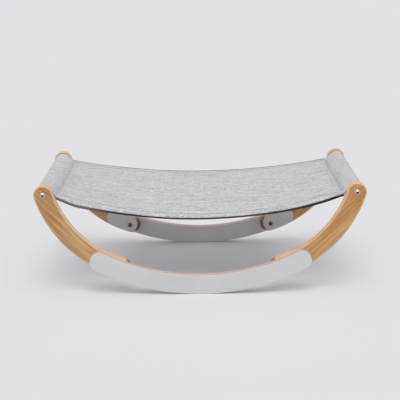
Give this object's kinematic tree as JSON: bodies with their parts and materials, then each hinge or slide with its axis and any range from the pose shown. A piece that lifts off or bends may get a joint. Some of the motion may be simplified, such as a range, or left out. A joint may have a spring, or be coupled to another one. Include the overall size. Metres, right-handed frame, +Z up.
{
  "type": "cat hammock",
  "caption": "Low rocking cat hammock: a sagging cloth sling hung on crossbars between curved side frames of white runners and wooden arms.",
  "frame": {"origin": "floor level, midway between the two runners and under the middle of the sling", "axes": "+X along the sling to the right crossbar, +Y from the front runner to the rear one, +Z up"},
  "size_m": [0.62, 0.355, 0.2087],
  "materials": {
    "white_board": "satin white lacquer on board, raw edges",
    "pine": "clear matt, straight grain",
    "beech": "plain",
    "steel": "zinc plated",
    "brass": "plain",
    "cloth": "pale grey marled weave",
    "binding": "dark grey overlocked edge"
  },
  "bodies": {
    "frame": {"front_runner": "white_board", "rear_runner": "white_board", "front_left_arm": "pine", "front_left_plate": "white_board", "front_right_arm": "pine", "front_right_plate": "white_board", "rear_left_arm": "pine", "rear_left_plate": "white_board", "rear_right_arm": "pine", "rear_right_plate": "white_board", "joint_bolts": "steel", "joint_dowels": "beech", "runner_inserts": "brass", "left_sleeve": "cloth", "right_sleeve": "cloth", "sling_panel": "cloth", "front_binding": "binding", "rear_binding": "binding"},
    "left_crossbar": {"left_crossbar": "beech", "left_bar_inserts": "brass", "left_bar_bolts": "steel"},
    "right_crossbar": {"right_crossbar": "beech", "right_bar_inserts": "brass", "right_bar_bolts": "steel"}
  },
  "joints": [
    {"name": "left_crossbar_turn", "type": "hinge", "parent": "frame", "child": "left_crossbar", "pos_m": [-0.292, 0, 0.19072], "axis": [0, 1, 0], "continuous": true},
    {"name": "right_crossbar_turn", "type": "hinge", "parent": "frame", "child": "right_crossbar", "pos_m": [0.292, 0, 0.19072], "axis": [0, 1, 0], "continuous": true}
  ]
}
